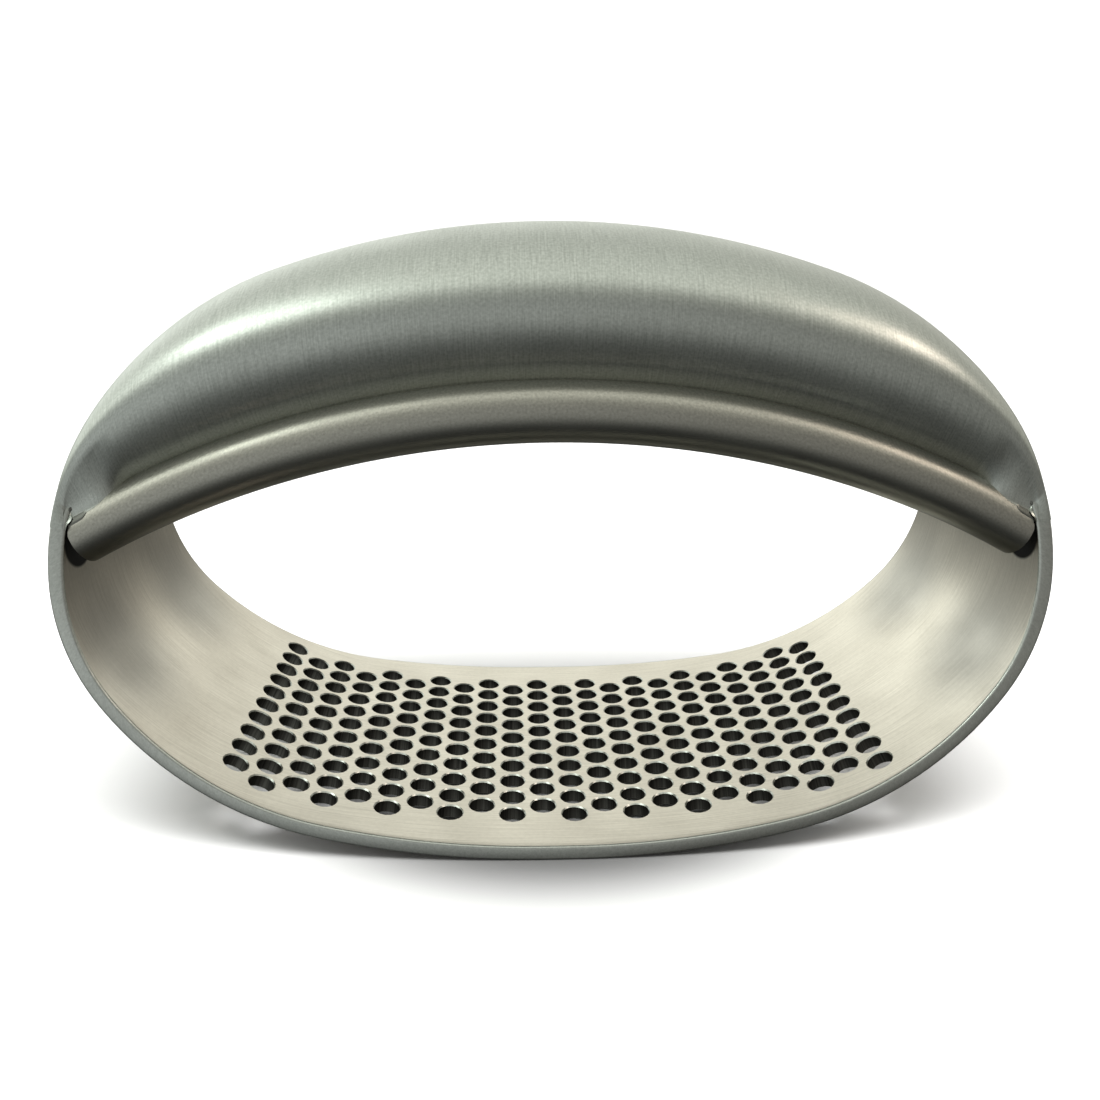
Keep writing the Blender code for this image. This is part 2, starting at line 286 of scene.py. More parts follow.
def perforated_plate():
    """Lattice faces less each hole's block, then four rings of 16 faces per hole: block
    to rim on the inner face, rim to bore, the bore, and the same again below.  Blank
    points (s, y, h) are bent by x - h sin(slope), z + h cos(slope)."""
    count, size = outline_y.shape
    index = np.arange(count * (size + 1)).reshape(count, size + 1)
    weld = (np.arange(count)[:, None] * size + np.arange(size + 1) % size).ravel()
    blank = np.stack([np.broadcast_to(stations[:, None], outline_y.shape),
                      outline_y, outline_h], -1)
    ring = np.concatenate([blank, blank[:, :1]], 1)
    run = np.linalg.norm(np.diff(ring[..., 1:], axis=1), axis=2)
    v = ring[:, :1, 1] + np.concatenate([np.zeros((count, 1)), np.cumsum(run, 1)], 1)
    uv = np.stack([ring[..., 0], v], -1).reshape(-1, 2)

    station, row = hole_blocks()
    gone = np.zeros((count - 1, size), bool)
    above = MARGIN + row
    below = 2 * (TOP_COUNT + EDGE_STEPS) - 1 - above
    span = np.arange(-2, 2)
    for level in (above, below):
        gone[station[:, None, None] + span[:, None], level[:, None, None] + span] = True
    faces = grid_faces(index)[~gone.ravel()]
    rim = np.arange(size) % (TOP_COUNT + 2 * EDGE_STEPS) >= TOP_COUNT - 1
    finish = np.tile(rim, count - 1)[~gone.ravel()].astype(int)

    turn = np.arange(16) * math.pi / 8
    over = np.clip(np.round(2.8 * np.cos(turn)), -2, 2).astype(int)
    up = np.clip(np.round(2.8 * np.sin(turn)), -2, 2).astype(int)
    edge_top = index[station[:, None] + over, above[:, None] + up]
    edge_under = index[station[:, None] + over, below[:, None] - up]
    bore = HOLE_DIAMETER / 2
    rings = [(bore + HOLE_BREAK, 0), (bore, -HOLE_BREAK),
             (bore, HOLE_BREAK - SHEET), (bore + HOLE_BREAK, -SHEET)]
    middle_s = stations[station][:, None]
    middle_y = rows[row][:, None]
    added = [np.stack([middle_s + r * np.cos(turn), middle_y + r * np.sin(turn),
                       np.full((len(station), 16), h)], -1) for r, h in rings]
    numbers = len(uv) + np.arange(4 * len(station) * 16).reshape(4, len(station), 16)
    loops = [edge_top, *numbers, edge_under]
    for start, end, number in zip(loops[:-1], loops[1:], (0, 1, 2, 1, 0)):
        quads = np.stack([start, np.roll(start, -1, 1), np.roll(end, -1, 1), end], -1)
        faces = np.concatenate([faces, quads.reshape(-1, 4)])
        finish = np.append(finish, np.full(quads[..., 0].size, number))
    extra = np.stack(added).reshape(-1, 3)
    flat = np.concatenate([blank.reshape(-1, 3), extra])
    weld = np.concatenate([weld, count * size + np.arange(len(extra))])
    uv = np.concatenate([uv, extra[:, :2]])

    used = np.unique(weld[faces])
    renumber = np.full(len(flat), -1)
    renumber[used] = np.arange(len(used))
    x, z, slope = ring_line(flat[:, 0])
    points = np.stack([x - flat[:, 2] * np.sin(slope), flat[:, 1],
                       z + flat[:, 2] * np.cos(slope)], -1)[used]
    caps = [index[0, :size], index[-1, size - 1::-1]]
    return steel_piece("pressing_plate", points, faces, uv, renumber[weld], caps,
                       "rocker_plate", finish)


plate = perforated_plate()

# %% [markdown]
# ## The handle
# The handle is a crescent in the side view: its upper line is the ring, its lower line
# the arch of the rolled edges.  Across the press it is domed, with a soft ridge where
# the dome turns into the front face, and the face then draws in to a tight crease.
# At each end the shell is welded to the wall and dressed smooth.  One loft carries the
# dome over that weld and a little way down the wall, so no step shows at the seam.

# %% The arch that the rolls follow
ROLL_Y = GRIP_DEPTH / 2 - ROLL_RADIUS


def lip_arch():
    """Half-length, radius and centre height of the arc through the crown of the opening
    and the ends of the lips.  For a chord of half-length a and a rise b the radius is
    (a^2 + b^2) / 2b."""
    x, z, slope = (float(value) for value in ring_line(SEAM + LIP_DROP - ROLL_RADIUS))
    end_x = x - WALL_GAP * math.sin(slope)
    end_z = z + WALL_GAP * math.cos(slope)
    peak = OVERALL_HEIGHT - HANDLE_HEIGHT + ROLL_RADIUS + LIP_DROP
    rise = peak - end_z
    radius = (end_x ** 2 + rise ** 2) / (2 * rise)
    return end_x, radius, peak - radius


LIP_END, LIP_RADIUS, ARCH_CENTRE = lip_arch()


def lip_height(x):
    """Height of the arch at x: a circle."""
    return ARCH_CENTRE + np.sqrt(LIP_RADIUS ** 2 - np.asarray(x) ** 2)


print("lip half-length and height, mm:", round(LIP_END / MM, 2),
      round(float(lip_height(0)) / MM, 2))

# %% The domed shell
SHELL_STATIONS = 56
DOME_STEPS = 26
FACE_STEPS = 16
CREASE_TURN = math.radians(17)    # where the face meets the roll, off the roll's top
TAB_TURN = math.radians(51)       # the same where the corner tab starts
TAB_STAND = 0.07 * MM             # tab's face above the roll
TAB_REACH = 5.0 * MM              # over this length the crease gives way to the tab
TAB_FILLET = 0.9 * MM             # run of the fold between the face and the tab
SINK = 0.05 * MM                  # faces of joined pieces overlap by this much
CROWN_FLAT = 1.0                  # how fast the flat crown at the seam becomes a full dome
SLEEVE_STATIONS = 8
SKIN = 0.03 * MM                  # the polished-over weld stands this far outside the wall
WELD_LIP = 0.35 * MM              # the weld rounds into the wall by this much


def shell_sections():
    """Every section has a dome whose corners are quarters of a rounded box or an ellipse:
    y = flat + corner sin^p a, with a fall of rise (1 - cos^p a) and p from 1/2 at the seam
    to 1 at the top.  The faces below are parabolas with three handles, at the dome,
    halfway down and at the crease: (1-t)^2 A + 2 t (1-t) B + t^2 C.  The crescent's
    height at a station sets how much dome and depth it has."""
    sleeve = np.linspace(-SLEEVE, 0, SLEEVE_STATIONS + 1)[:-1]
    way = 1 - np.cos(np.linspace(0, math.pi / 2, SHELL_STATIONS + 1))
    x, z, slope = ring_line(np.append(SEAM + sleeve, SEAM + (TOP - SEAM) * way))
    thick = SHEET + SKIN * np.append(np.ones(len(sleeve)), 1 - way)
    upper = np.stack([x + thick * np.sin(slope), z - thick * np.cos(slope)], -1)
    upper[-1, 0] = 0
    seam = len(sleeve)
    lower_x = upper[:, 0] * x[seam] / upper[seam, 0]
    tall = np.hypot(upper[:, 0] - lower_x, upper[:, 1] - lip_height(lower_x))
    share = np.clip((tall - tall[seam]) / (tall.max() - tall[seam]), 0, 1)[:, None]
    share[:seam] = 0
    rise = DOME_END_RISE + (DOME_RISE - DOME_END_RISE) * share ** DOME_FADE
    half = (SEAM_DEPTH + (CROWN_DEPTH - SEAM_DEPTH) * share) / 2 + SKIN
    half[:seam, 0] = plate_half_depth(SEAM + sleeve) + SKIN
    corner = DOME_END_CORNER + (half - DOME_END_CORNER) * share ** CROWN_FLAT
    tabbed = ease((lower_x - LIP_END + TAB_REACH) / (TAB_REACH - 1 * MM))
    turn = CREASE_TURN + (TAB_TURN - CREASE_TURN) * tabbed
    reach = ROLL_RADIUS + TAB_STAND * tabbed - SINK
    lower = np.stack([lower_x, lip_height(lower_x) - LIP_DROP + reach * np.cos(turn)], -1)
    crease = (ROLL_Y + reach * np.sin(turn))[:, None]
    over = ease(1 + sleeve / SLEEVE)
    foot_x, foot_z, _ = ring_line(SEAM + sleeve - SHEET * over)
    lower[:seam] = np.stack([foot_x - SKIN - WELD_LIP * over, foot_z], -1)
    crease[:seam, 0] = half[:seam, 0] + (crease[seam] - half[seam]) * over
    height = np.linalg.norm(upper - lower, axis=1)[:, None]

    around = np.linspace(-math.pi / 2, math.pi / 2, 2 * DOME_STEPS + 1)
    side = np.sign(around)
    square = 0.5 + 0.5 * share ** 0.5
    bulge = side * np.abs(np.sin(around)) ** square
    rounded = np.cos(around) ** square
    fall = np.linspace(0, 1, FACE_STEPS + 1)[1:]
    tabbed, turn = tabbed[:, None], turn[:, None]
    bend_y = half + (crease - TAB_FILLET * np.cos(turn) - half) * tabbed
    bend_up = (height - rise) / 2 + (TAB_FILLET * np.sin(turn) - (height - rise) / 2) * tabbed
    face_y = (1 - fall) ** 2 * half + 2 * fall * (1 - fall) * bend_y + fall ** 2 * crease
    face_up = (1 - fall) ** 2 * (height - rise) + 2 * fall * (1 - fall) * bend_up

    def line(inset):
        dome_y = side * (half - corner) + (corner - inset * np.abs(np.sin(around))) * bulge
        dome_up = height - rise + rise * rounded
        y = np.concatenate([inset - face_y[:, ::-1], dome_y, face_y - inset], 1)
        up = np.concatenate([face_up[:, ::-1], dome_up, face_up], 1) * (height - inset) / height
        point = lower[:, None] + (up / height)[..., None] * (upper - lower)[:, None]
        return np.stack([point[..., 0], y, point[..., 1]], -1)

    right = np.concatenate([line(0.0), line(SHEET)[:, ::-1]], 1)
    left = right[:-1] * (-1, 1, 1)
    return np.concatenate([left, right[::-1]])


shell = lofted("domed_shell", shell_sections(), "handle_shell")

# %% The rolled channel under the fingers
ROLL_STEPS = 26
ROLL_STATIONS = 140
END_SLANT = 0.30           # a roll's end is cut back by this much for each unit of drop
END_REACH = 49.67 * MM     # how far the end reaches at the height of the roll's centre


def along_arch(x, y, out):
    """Points at x, with y across and out above the rolls' centre line."""
    return np.stack(np.broadcast_arrays(x, y, lip_height(x) - LIP_DROP + out), -1)


WALL_LINE = np.linspace(0, SEAM, 400)
wall_x, wall_z, _ = ring_line(WALL_LINE)


def wall_at(out):
    """Where the wall's inner face is at the height that out has over the lip's end."""
    return np.interp(lip_height(LIP_END) - LIP_DROP + out, wall_z, wall_x)


def channel_sections():
    """Upright sections from wall to wall.  Each goes inside from roll to roll and back
    outside: half a circle round each edge with a flat underside between."""
    turn = np.linspace(math.pi / 2, -math.pi / 2, ROLL_STEPS + 1)

    def line(radius):
        y, out = ROLL_Y + radius * np.cos(turn), radius * np.sin(turn)
        return np.append(-y, y[::-1]), np.append(out, out[::-1])

    inner_y, inner_out = line(ROLL_RADIUS - LINER_SHEET)
    outer_y, outer_out = line(ROLL_RADIUS)
    y, out = np.append(inner_y, outer_y[::-1]), np.append(inner_out, outer_out[::-1])
    end = np.minimum(END_REACH + END_SLANT * out, wall_at(out) - SINK)
    share = np.linspace(-1, 1, ROLL_STATIONS + 1)[:, None]
    return along_arch(share * end, y, out)


channel = lofted("rolled_channel", channel_sections(), "grip_liner",
                 start=3 * ROLL_STEPS + 2)

# %% [markdown]
# ## The corner tabs
# At each corner a small tongue of the shell is lapped over the end of the roll and
# rubbed down, which leaves a fine groove round its tip.  It is a patch on the roll's own
# cylinder that stands out a little and drops to the roll along its border.

# %% Tabs
TAB_LENGTH = 0.6 * MM             # tip, back from the lip's end
TAB_LOW = math.radians(62)        # lower border, off the roll's top
TAB_NOSE = math.radians(50)       # where the tip reaches furthest
TAB_TIP = 0.9 * MM                # how far the tip is rounded below the nose
TAB_SHOULDER = 3.0 * MM           # and above it
TAB_ROUND = 0.35 * MM             # width of the border's rounding
TAB_STEPS = 28
TAB_OVER = 0.35 * MM              # its upper part reaches over the wall's rim by this much
TAB_WEB = 1.5 * MM                # run in which it rises from the roll to the rim
WEB_TURN = math.radians(25)       # the upper part ends here, off the roll's top
WEB_FADE = math.radians(20)       # and is gone after this much more


def tab_sections(side, face):
    """Patch on the roll: turn runs from under the shell to TAB_LOW, x from the tip to the
    wall.  It stands out by TAB_STAND sqrt(1 - (1 - d)^2), where d is the distance from
    its border in units of TAB_ROUND.  Its upper part eases out to the wall's rim."""
    turn = np.linspace(0, TAB_LOW, TAB_STEPS + 1)
    below_nose = turn > TAB_NOSE
    across = (turn - TAB_NOSE) / np.where(below_nose, TAB_LOW - TAB_NOSE, TAB_NOSE)
    round_off = np.where(below_nose, TAB_TIP, TAB_SHOULDER)
    tip = LIP_END - TAB_LENGTH + round_off * (1 - np.sqrt(np.clip(1 - across ** 2, 0, 1)))
    tip = np.minimum(tip, LIP_END)
    wall_here = wall_at(ROLL_RADIUS * np.cos(turn))
    rim = np.interp(wall_here, wall_x, plate_half_depth(WALL_LINE)) - SKIN
    webbed = 1 - ease((turn - WEB_TURN) / WEB_FADE)
    end = wall_here - SINK + (TAB_OVER + SINK) * webbed
    x = tip + (end - tip) * np.linspace(0, 1, TAB_STEPS + 1)[:, None]
    below = ROLL_RADIUS * (TAB_LOW - turn)
    border = np.clip(np.minimum(x - tip, below) / TAB_ROUND, 0, 1)
    stand = np.sqrt(1 - (1 - border) ** 2) * (TAB_STAND + SINK) - SINK
    y = ROLL_Y + (ROLL_RADIUS + stand) * np.sin(turn)
    rising = ease((x - wall_here + TAB_WEB) / (TAB_WEB + TAB_OVER))
    y = y + np.maximum(rim - y, 0) * webbed * rising
    face_out = along_arch(x, y, (ROLL_RADIUS + stand) * np.cos(turn))
    buried = ROLL_RADIUS - LINER_SHEET * 2 / 3
    back = along_arch(x, ROLL_Y + buried * np.sin(turn), buried * np.cos(turn))
    sections = np.concatenate([face_out, back[:, ::-1]], 1) * (side, face, 1)
    return sections[:, ::-1] if side * face < 0 else sections


tabs = [lofted(f"tab_{depth}_{end}", tab_sections(side, face), f"corner_tab_{depth}_{end}")
        for side, end in ((-1, "left"), (1, "right"))
        for face, depth in ((-1, "front"), (1, "rear"))]

# %% [markdown]
# ## Steel
# The whole press is stainless steel sheet.  Colours are written as the hex values a
# painter would pick and turned to linear light once.  Metal has no colour of its own
# beyond its reflection, so the finish is all in the fine scratches: they spread the
# reflection, and vary it from stroke to stroke.  A real stroke is a few hundredths of a
# millimetre wide, too fine to show, so the strokes are drawn a few times coarser.

# %% Colour and node helpers
def linear(code):
    """sRGB hex to linear RGBA: c / 12.92 below 0.04045, else ((c + 0.055) / 1.055)^2.4."""
    srgb = [int(code[k:k + 2], 16) / 255 for k in (1, 3, 5)]
    return [c / 12.92 if c <= 0.04045 else ((c + 0.055) / 1.055) ** 2.4 for c in srgb] + [1.0]


def add(tree, kind, inputs=(), **settings):
    """Adds a node.  Inputs are (socket, value) pairs, where a value that is a socket of
    another node makes a link."""
    node = tree.nodes.new(kind)
    for key, value in settings.items():
        setattr(node, key, value)
    for socket, value in dict(inputs).items():
        if isinstance(value, bpy.types.NodeSocket):
            tree.links.new(value, node.inputs[socket])
        else:
            node.inputs[socket].default_value = value
    return node


# %% Brushed stainless steel
CLOUD_SIZE = 9.0           # mm, size of the patches in which the polish comes out duller
SCRATCH_DEPTH = 0.02 * MM


def brushed_steel(name, tone, dark, roughness, stroke, grain, bump_share=0.25,
                  cloudy=0.05, grainy=1.0):
    """Stainless steel whose strokes are stroke = (length, width) in mm in the steel map,
    with specks of grain mm.  Strokes plus grainy times specks give the tone from dark to
    tone and the bump.  Slow clouds vary the roughness by cloudy either way."""
    made = bpy.data.materials.new(name)
    made.use_nodes = True
    tree = made.node_tree
    shader = tree.nodes["Principled BSDF"]
    shader.inputs["Metallic"].default_value = 1.0
    spot = add(tree, "ShaderNodeUVMap", uv_map="steel").outputs["UV"]
    scaled = add(tree, "ShaderNodeMapping", {
        "Vector": spot, "Scale": (1 / stroke[0], 1 / stroke[1], 1)})
    strokes = add(tree, "ShaderNodeTexNoise", {
        "Vector": scaled.outputs[0], "Scale": 1.0, "Detail": 3.0, "Roughness": 0.6})
    cloud = add(tree, "ShaderNodeTexNoise", {
        "Vector": spot, "Scale": 1 / CLOUD_SIZE, "Detail": 2.0})
    speck = add(tree, "ShaderNodeTexNoise", {
        "Vector": spot, "Scale": 1 / grain, "Detail": 2.0})
    mixed = add(tree, "ShaderNodeMath", {
        0: speck.outputs["Fac"], 1: grainy, 2: strokes.outputs["Fac"]},
        operation="MULTIPLY_ADD")
    tint = add(tree, "ShaderNodeMapRange", {
        "Value": mixed.outputs[0], "From Min": 0.2 + 0.5 * grainy,
        "From Max": 0.8 + 0.5 * grainy})
    base = add(tree, "ShaderNodeMix", {
        0: tint.outputs[0], 6: linear(dark), 7: linear(tone)}, data_type="RGBA")
    tree.links.new(base.outputs[2], shader.inputs["Base Color"])
    rough = add(tree, "ShaderNodeMapRange", {
        "Value": cloud.outputs["Fac"], "From Min": 0.3, "From Max": 0.7,
        "To Min": roughness - cloudy, "To Max": roughness + cloudy})
    tree.links.new(rough.outputs[0], shader.inputs["Roughness"])
    bump = add(tree, "ShaderNodeBump", {
        "Height": mixed.outputs[0], "Strength": bump_share, "Distance": SCRATCH_DEPTH})
    tree.links.new(bump.outputs[0], shader.inputs["Normal"])
    return made


# %% [markdown]
# ## Painted shade on the wall and under the channel
# The narrow slot round the end of a roll is painted nearly black as shade, and the wall beside
# it gets a darker patch of painted shade.  Both are painted into the finish by distance: this
# is a stand-in for shade, not a shape.  The underside of the channel is painted darker as
# shade.

# %% Painted shade: slot shade and dark patch on the plate
SLOT_SHADE = (3.3 * MM, 3.7 * MM)      # from the roll's centre line: dark to clean
OUTSIDE_FROM = OVERALL_LENGTH / 2 - SHEET + 0.4 * MM   # past this the wall is its outside
# Painted shade: a darker patch on the walls beside the rolls' ends.
SHADE_PATCH_MIDDLE = (47.5 * MM, 10.0 * MM, 19.0 * MM)       # repeated in all four quarters
SHADE_PATCH_FADE = (2 * MM, 11 * MM)
SHADE_PATCH_SHARE = 0.5


def shade_round_roll_ends(made):
    """Paints shade on the inner side of the wall round a roll's end: a smooth step of the
    distance from the roll's centre line, in object coordinates folded about the middle.
    Then it mixes in a darker patch of painted shade that fades with the distance from its
    middle."""
    tree = made.node_tree
    shader = tree.nodes["Principled BSDF"]
    base = shader.inputs["Base Color"].links[0].from_socket
    spot = add(tree, "ShaderNodeTexCoord").outputs["Object"]
    folded = add(tree, "ShaderNodeVectorMath", {0: spot}, operation="ABSOLUTE")
    end_z = float(lip_height(END_REACH)) - LIP_DROP
    offset = add(tree, "ShaderNodeVectorMath", {
        0: folded.outputs[0], 1: (0.0, -ROLL_Y, -end_z)}, operation="ADD")
    flat = add(tree, "ShaderNodeVectorMath", {
        0: offset.outputs[0], 1: (0.0, 1.0, 1.0)}, operation="MULTIPLY")
    far = add(tree, "ShaderNodeVectorMath", {0: flat.outputs[0]}, operation="LENGTH")
    clear = add(tree, "ShaderNodeMapRange", {
        "Value": far.outputs["Value"], "From Min": SLOT_SHADE[0], "From Max": SLOT_SHADE[1]},
        interpolation_type="SMOOTHSTEP")
    side = add(tree, "ShaderNodeSeparateXYZ", {0: folded.outputs[0]}).outputs["X"]
    outside = add(tree, "ShaderNodeMath", {0: side, 1: OUTSIDE_FROM},
                  operation="GREATER_THAN")
    keep = add(tree, "ShaderNodeMath", {0: clear.outputs[0], 1: outside.outputs[0]},
               operation="MAXIMUM")
    # Painted shade: nearly black in the slot round a roll's end.
    mixed = add(tree, "ShaderNodeMix", {0: keep.outputs[0], 6: linear("#0a0a0a"), 7: base},
                data_type="RGBA")
    away = add(tree, "ShaderNodeVectorMath", {0: folded.outputs[0], 1: SHADE_PATCH_MIDDLE},
               operation="DISTANCE")
    grey = add(tree, "ShaderNodeMapRange", {
        "Value": away.outputs["Value"], "From Min": SHADE_PATCH_FADE[0], "From Max": SHADE_PATCH_FADE[1],
        "To Min": SHADE_PATCH_SHARE, "To Max": 0.0}, interpolation_type="SMOOTHSTEP")
    # Painted shade: the darker patch mixed in beside the slot.
    patch_shaded = add(tree, "ShaderNodeMix", {
        0: grey.outputs[0], 6: mixed.outputs[2], 7: linear("#6f7274")}, data_type="RGBA")
    tree.links.new(patch_shaded.outputs[2], shader.inputs["Base Color"])


# %% Painted shade on the underside of the channel
def shade_channel_underside(made):
    """The channel's underside is painted darker as shade.  Its tone goes from dark to bright up
    the roll, over a range of V, which is counted from the middle of the underside."""
    tree = made.node_tree
    shader = tree.nodes["Principled BSDF"]
    base = shader.inputs["Base Color"].links[0].from_socket
    steel_map = add(tree, "ShaderNodeUVMap", uv_map="steel").outputs[0]
    part = add(tree, "ShaderNodeSeparateXYZ", {0: steel_map})
    away = add(tree, "ShaderNodeMath", {0: part.outputs["Y"]}, operation="ABSOLUTE")
    flat_half, roll = ROLL_Y / MM, ROLL_RADIUS / MM
    out_of_shade = add(tree, "ShaderNodeMapRange", {
        "Value": away.outputs[0], "From Min": flat_half + roll * 0.9,
        "From Max": flat_half + roll * 2.0}, interpolation_type="SMOOTHSTEP")
    # Painted shade: darker towards the channel's underside.
    mixed = add(tree, "ShaderNodeMix", {
        0: out_of_shade.outputs[0], 6: linear("#6e6f6a"), 7: base}, data_type="RGBA")
    tree.links.new(mixed.outputs[2], shader.inputs["Base Color"])


# %% The five finishes
# Warm satin plate: long fine strokes give a soft sheen that is drawn out along the press.
satin = brushed_steel("satin_stainless_brushed_lengthwise", "#e9e3d7", "#c9c3b7", 0.36,
                      (9.0, 0.16), 0.5, cloudy=0.07, grainy=0.3)
# Painted shade round the rolls' ends and beside them on the walls.
shade_round_roll_ends(satin)
# Shell: strokes across the handle give a cooler grey with fine upright streaks.
brushed = brushed_steel("stainless_brushed_across", "#c2c6c0", "#a2a6a0", 0.36,
                        (0.16, 4.0), 0.3)
# Rolls and tabs: no direction, a fine mottled grain.
rolled = brushed_steel("stainless_rolled_edge", "#b9b7ad", "#9c9a91", 0.36,
                       (0.3, 0.3), 0.25)
# Painted shade on the channel's underside.
shade_channel_underside(rolled)
# Rims: a little smoother than the faces, so that they catch a thin line of light.
edge = brushed_steel("stainless_broken_edge", "#bfc2bc", "#a9aca6", 0.34,
                     (0.5, 0.5), 0.2, 0.1)
# Bores: a rough finish, painted dark as shade in the holes, so that the holes read as deep.
bore = brushed_steel("stainless_bore_painted_shade", "#6a6963", "#3a3935", 0.42,
                     (0.4, 0.1), 0.2)
for finish in (satin, edge, bore):
    plate.data.materials.append(finish)
shell.data.materials.append(brushed)
channel.data.materials.append(rolled)
for tab in tabs:
    tab.data.materials.append(rolled)
print("finishes:", [finish.name for finish in (satin, brushed, rolled, edge, bore)])

# %% [markdown]
# ## Stage
# The press stands on a plain pale floor that sweeps up into a wall, so no horizon shows.
# The floor is hidden from the steel's reflections.  The soft shadow under the plate is
# mostly a painted shadow, a dark spot painted into the floor.

# %% Floor
FLAT_RADIUS = 1.0          # metres of level floor
SWEEP = 0.5                # radius of the bend up to the wall
WALL_TOP = 1.6
FLOOR_SIDES = 64


def floor_mesh():
    """Rings of radius r and height h: level, then a quarter circle, then upright."""
    bend = np.linspace(0.1, math.pi / 2, 10)
    level = np.linspace(0.02, FLAT_RADIUS, 12)
    r = np.concatenate([level, FLAT_RADIUS + SWEEP * np.sin(bend), [FLAT_RADIUS + SWEEP]])
    h = np.concatenate([np.zeros(len(level)), SWEEP * (1 - np.cos(bend)), [WALL_TOP]])
    turn = np.linspace(0, 2 * math.pi, FLOOR_SIDES + 1)[:-1]
    points = np.stack([r[:, None] * np.cos(turn), r[:, None] * np.sin(turn),
                       np.broadcast_to(h[:, None], (len(r), FLOOR_SIDES))], -1)
    index = np.arange(len(r) * FLOOR_SIDES).reshape(len(r), FLOOR_SIDES)
    faces = grid_faces(np.concatenate([index, index[:, :1]], 1)).tolist()
    mesh = bpy.data.meshes.new("floor")
    mesh.from_pydata(points.reshape(-1, 3).tolist(), [], faces + [index[0].tolist()])
    mesh.shade_smooth()
    return mesh


def floor_paint():
    """Matt pale paint with a painted shadow: a dark spot that fades with distance from under
    the plate.
    """
    paint = bpy.data.materials.new("pale_floor_painted_shadow")
    paint.use_nodes = True
    tree = paint.node_tree
    shader = tree.nodes["Principled BSDF"]
    shader.inputs["Roughness"].default_value = 0.9
    spot = add(tree, "ShaderNodeTexCoord").outputs["Object"]
    near = add(tree, "ShaderNodeMapping", {
        "Vector": spot, "Location": (0.0, 0.006 / 0.026, 0.0),
        "Scale": (1 / 0.040, 1 / 0.029, 1.0)})
    fading = add(tree, "ShaderNodeTexGradient", {"Vector": near.outputs[0]},
                 gradient_type="SPHERICAL")
    shade = add(tree, "ShaderNodeMapRange", {
        "Value": fading.outputs["Fac"], "From Min": 0.0, "From Max": 0.5},
        interpolation_type="SMOOTHSTEP")
    # Painted shadow: the dark colour fades in under the plate.
    pale = add(tree, "ShaderNodeMix", {
        0: shade.outputs[0], 6: linear("#c8c8c8"), 7: linear("#505050")}, data_type="RGBA")
    tree.links.new(pale.outputs[2], shader.inputs["Base Color"])
    return paint


floor = bpy.data.objects.new("floor", floor_mesh())
bpy.context.scene.collection.objects.link(floor)
# Pale paint with a painted shadow under the plate.
floor.data.materials.append(floor_paint())
floor.visible_glossy = False
print("floor faces:", len(floor.data.polygons))

# %% [markdown]
# ## Light
# What metal shows is the room around it, so the room is drawn as bands of brightness from
# the horizon behind, over the top, to the horizon in front.  The levels are chosen for
# this press.  The left of the room is brighter than the right.

# %% The room that the steel reflects
SHADES = ((-60, 0.07), (-15, 0.18), (3, 0.45), (14, 1.60), (28, 1.25), (50, 0.95),
          (100, 1.25), (118, 1.45), (136, 0.55), (163, 0.46), (183, 0.62), (200, 0.60),
          (224, 0.15))
UNDERFOOT = (0.06, 0.06, 0.058, 1)
LEFT_SIDE = (1.20, 1.22, 1.20, 1)
RIGHT_SIDE = (0.60, 0.58, 0.55, 1)
WHOLE_TURN = 2 * math.pi


def sky_angle(degrees):
    """Place on the ramp of an angle from the horizon behind (0) over the top (90)."""
    return (degrees + 90) / 360


def studio_world():
    """Brightness by the angle atan2(z, y), times a fade over x (1.1 - z) from the left
    side's level to the right side's."""
    world = bpy.data.worlds.new("studio")
    bpy.context.scene.world = world
    world.use_nodes = True
    sky = world.node_tree
    direction = add(sky, "ShaderNodeTexCoord").outputs["Generated"]
    part = add(sky, "ShaderNodeSeparateXYZ", {0: direction}).outputs
    angle = add(sky, "ShaderNodeMath", {0: part["Z"], 1: part["Y"]}, operation="ARCTAN2")
    turned = add(sky, "ShaderNodeMath", {0: angle.outputs[0], 1: math.pi / 2 + WHOLE_TURN},
                 operation="ADD")
    within = add(sky, "ShaderNodeMath", {0: turned.outputs[0], 1: WHOLE_TURN},
                 operation="FLOORED_MODULO")
    share = add(sky, "ShaderNodeMath", {0: within.outputs[0], 1: WHOLE_TURN},
                operation="DIVIDE")
    ramp = add(sky, "ShaderNodeValToRGB", {"Fac": share.outputs[0]})
    for end in ramp.color_ramp.elements:
        end.color = UNDERFOOT
    for degrees, level in SHADES:
        step = ramp.color_ramp.elements.new(sky_angle(degrees))
        step.color = (level * 0.98, level, level * (0.95 if degrees < 150 else 1.0), 1)
    low = add(sky, "ShaderNodeMath", {0: 1.1, 1: part["Z"]}, operation="SUBTRACT")
    across = add(sky, "ShaderNodeMath", {0: part["X"], 1: low.outputs[0]},
                 operation="MULTIPLY")
    fade = add(sky, "ShaderNodeMapRange", {
        "Value": across.outputs[0], "From Min": -0.5, "From Max": 0.5})
    sides = add(sky, "ShaderNodeMix", {0: fade.outputs[0], 6: LEFT_SIDE, 7: RIGHT_SIDE},
                data_type="RGBA")
    lit = add(sky, "ShaderNodeMix", {
        0: 1.0, 6: ramp.outputs["Color"], 7: sides.outputs[2]}, data_type="RGBA",
        blend_type="MULTIPLY")
    sky.links.new(lit.outputs[2], sky.nodes["Background"].inputs["Color"])
    sky.nodes["Background"].inputs["Strength"].default_value = 1.0


studio_world()
print("bands in the room:", len(SHADES))

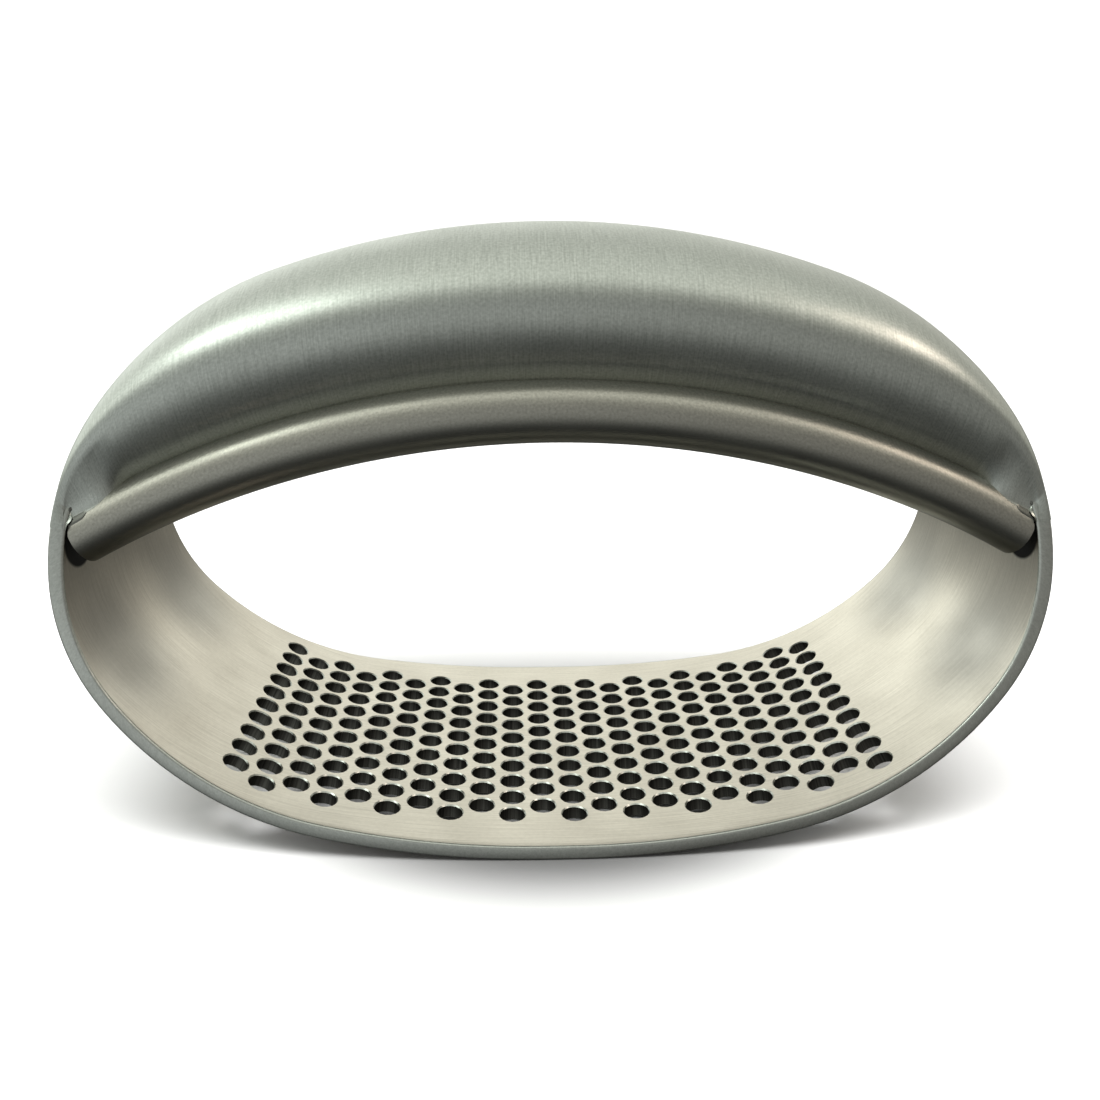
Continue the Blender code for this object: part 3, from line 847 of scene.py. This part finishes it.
# %% Soft lamps
def softbox(name, stand, target, size, power, tint="#ffffff"):
    """A rectangular soft light that stands at stand and faces its target."""
    lamp = bpy.data.lights.new(name, "AREA")
    lamp.shape, lamp.size, lamp.size_y = "RECTANGLE", *size
    lamp.energy = power
    lamp.color = linear(tint)[:3]
    made = bpy.data.objects.new(name, lamp)
    bpy.context.scene.collection.objects.link(made)
    made.location = stand
    aim = (np.asarray(target, float) - np.asarray(stand, float)).tolist()
    made.rotation_euler = Vector(aim).to_track_quat("-Z", "Y").to_euler()
    made.visible_camera = False
    return made


# The first three light the floor only, so the steel doesn't mirror them.
for fill in (softbox("ceiling", (0, 0.10, 0.9), (0, 0.02, 0), (0.8, 0.6), 0.5),
             softbox("front_fill", (0, -0.9, 0.35), (0, 0, 0), (0.8, 0.3), 2.0),
             softbox("backdrop_lamp", (0, -0.3, 1.4), (0, 1.5, 0.4), (1.2, 0.8), 50.0)):
    fill.visible_glossy = False
softbox("left_lamp", (-0.40, -0.14, 0.55), (0, 0, 0.05), (0.3, 0.2), 0.7, "#f6fff8")
softbox("right_lamp", (0.50, -0.14, 0.50), (0, 0, 0.05), (0.2, 0.16), 0.45, "#ffeadc")
print("lamps:", len(bpy.data.lights))

# %% [markdown]
# ## Camera
# The press is seen from close by and a little above, which makes its near side large.

# %% Camera
YAW, PITCH, ROLL = math.radians(2.11), math.radians(17.52), math.radians(0.15)
EYE_PLACE = (-0.00442, -0.10666, 0.06079)
eye = bpy.data.cameras.new("camera")
eye.lens, eye.sensor_width, eye.clip_start = 30.67, 36.0, 0.005
camera = bpy.data.objects.new("camera", eye)
bpy.context.scene.collection.objects.link(camera)
camera.matrix_world = (Matrix.Translation(EYE_PLACE) @ Matrix.Rotation(-YAW, 4, "Z")
                       @ Matrix.Rotation(math.pi / 2 - PITCH, 4, "X")
                       @ Matrix.Rotation(ROLL, 4, "Z"))
bpy.context.scene.camera = camera
bpy.context.scene.view_settings.view_transform = "Standard"
print("camera to the middle of the plate, mm:", round(Vector(EYE_PLACE).length / MM, 1))
